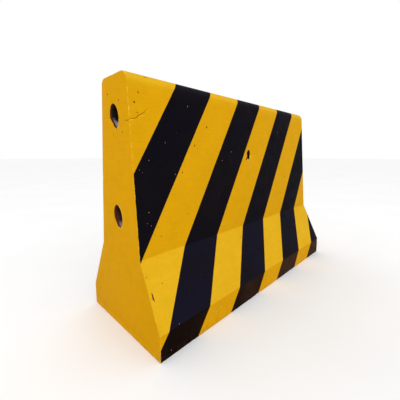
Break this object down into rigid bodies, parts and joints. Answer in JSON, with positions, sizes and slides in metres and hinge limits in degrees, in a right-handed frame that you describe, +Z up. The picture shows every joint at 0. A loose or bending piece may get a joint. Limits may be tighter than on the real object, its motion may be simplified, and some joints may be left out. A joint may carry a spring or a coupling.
{
  "type": "concrete traffic barrier block",
  "caption": "Precast concrete lane divider block of barrier profile, yellow with black diagonal stripes, with oval steel-lined through holes for link pipes.",
  "frame": {"origin": "middle of the base, on the surface that the block stands on", "axes": "+X along the block towards its far end, +Y across it towards its back, +Z up"},
  "size_m": [1, 0.36, 0.7],
  "materials": {
    "painted_concrete": "satin",
    "sleeve_steel": "matte",
    "cage_steel": "matte",
    "mortar": "matte"
  },
  "bodies": {
    "root": {"concrete_body": "painted_concrete", "upper_sleeve": "sleeve_steel", "lower_sleeve": "sleeve_steel", "lower_saddle_far": "cage_steel", "lower_saddle_near": "cage_steel", "upper_saddle_far": "cage_steel", "upper_saddle_near": "cage_steel", "long_bar_bottom_front": "cage_steel", "long_bar_bottom_back": "cage_steel", "long_bar_crease_front": "cage_steel", "long_bar_crease_back": "cage_steel", "long_bar_middle_front": "cage_steel", "long_bar_middle_back": "cage_steel", "long_bar_top_front": "cage_steel", "long_bar_top_back": "cage_steel", "link_1": "cage_steel", "link_2": "cage_steel", "link_3": "cage_steel", "link_4": "cage_steel", "link_5": "cage_steel", "cover_block_near_front": "mortar", "cover_block_near_back": "mortar", "cover_block_far_front": "mortar", "cover_block_far_back": "mortar"}
  },
  "joints": []
}
